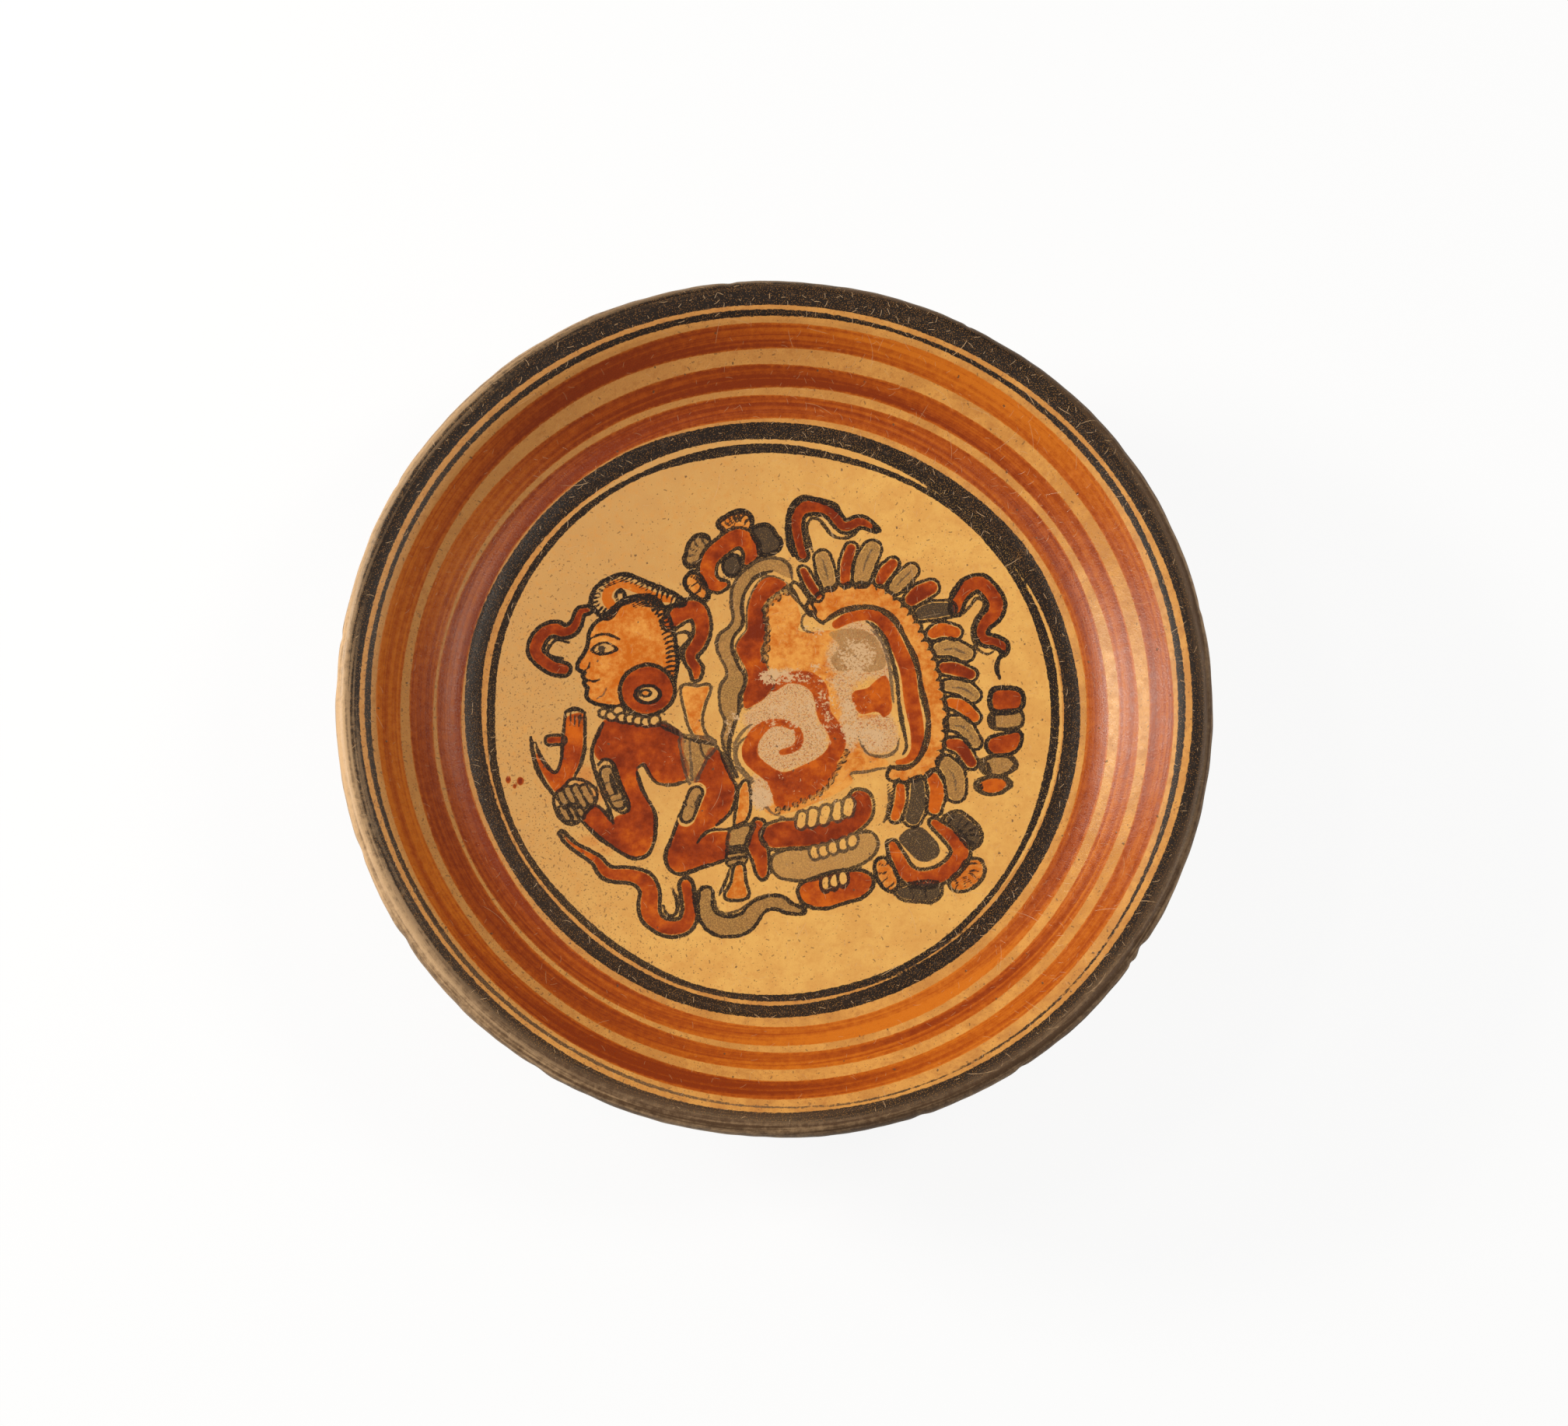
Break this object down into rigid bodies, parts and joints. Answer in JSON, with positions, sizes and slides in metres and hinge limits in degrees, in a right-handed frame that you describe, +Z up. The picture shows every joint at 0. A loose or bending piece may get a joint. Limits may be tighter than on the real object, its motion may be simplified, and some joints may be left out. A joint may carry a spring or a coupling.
{
  "type": "tripod plate",
  "caption": "Shallow flaring pottery plate with a painted inside, standing on hollow rattle feet that hold loose clay pellets.",
  "frame": {"origin": "on the surface the plate stands on, under the middle of the rim", "axes": "+Z up out of the dish, +Y towards the top of the picture painted on the floor, +X to its right"},
  "size_m": [0.2792, 0.28, 0.0742],
  "materials": {
    "floor_slip": "burnished cream and orange slip, satin",
    "wall_slip": "burnished red slip bands, satin",
    "rim_slip": "burnished black rim band, worn to brown clay at the lip",
    "foot_clay": "smoothed buff clay, matt",
    "pellet_clay": "rough fired clay, matt"
  },
  "bodies": {
    "plate": {"base_disc": "floor_slip", "wall_coil": "wall_slip", "rim_coil": "rim_slip", "foot_1": "foot_clay", "foot_2": "foot_clay", "foot_3": "foot_clay", "luting_coil_1": "foot_clay", "luting_coil_2": "foot_clay", "luting_coil_3": "foot_clay"},
    "rattle_1a": {"pellet_1a": "pellet_clay"},
    "rattle_1b": {"pellet_1b": "pellet_clay"},
    "rattle_2a": {"pellet_2a": "pellet_clay"},
    "rattle_2b": {"pellet_2b": "pellet_clay"},
    "rattle_3a": {"pellet_3a": "pellet_clay"},
    "rattle_3b": {"pellet_3b": "pellet_clay"}
  },
  "joints": [
    {"name": "throw_1a", "type": "slide", "parent": "plate", "child": "rattle_1a", "axis": [0, 0, 1], "range_m": [0, 0.0285]},
    {"name": "throw_1b", "type": "slide", "parent": "plate", "child": "rattle_1b", "axis": [0, 0, 1], "range_m": [0, 0.0285]},
    {"name": "throw_2a", "type": "slide", "parent": "plate", "child": "rattle_2a", "axis": [0, 0, 1], "range_m": [0, 0.0285]},
    {"name": "throw_2b", "type": "slide", "parent": "plate", "child": "rattle_2b", "axis": [0, 0, 1], "range_m": [0, 0.0285]},
    {"name": "throw_3a", "type": "slide", "parent": "plate", "child": "rattle_3a", "axis": [0, 0, 1], "range_m": [0, 0.0285]},
    {"name": "throw_3b", "type": "slide", "parent": "plate", "child": "rattle_3b", "axis": [0, 0, 1], "range_m": [0, 0.0285]}
  ]
}
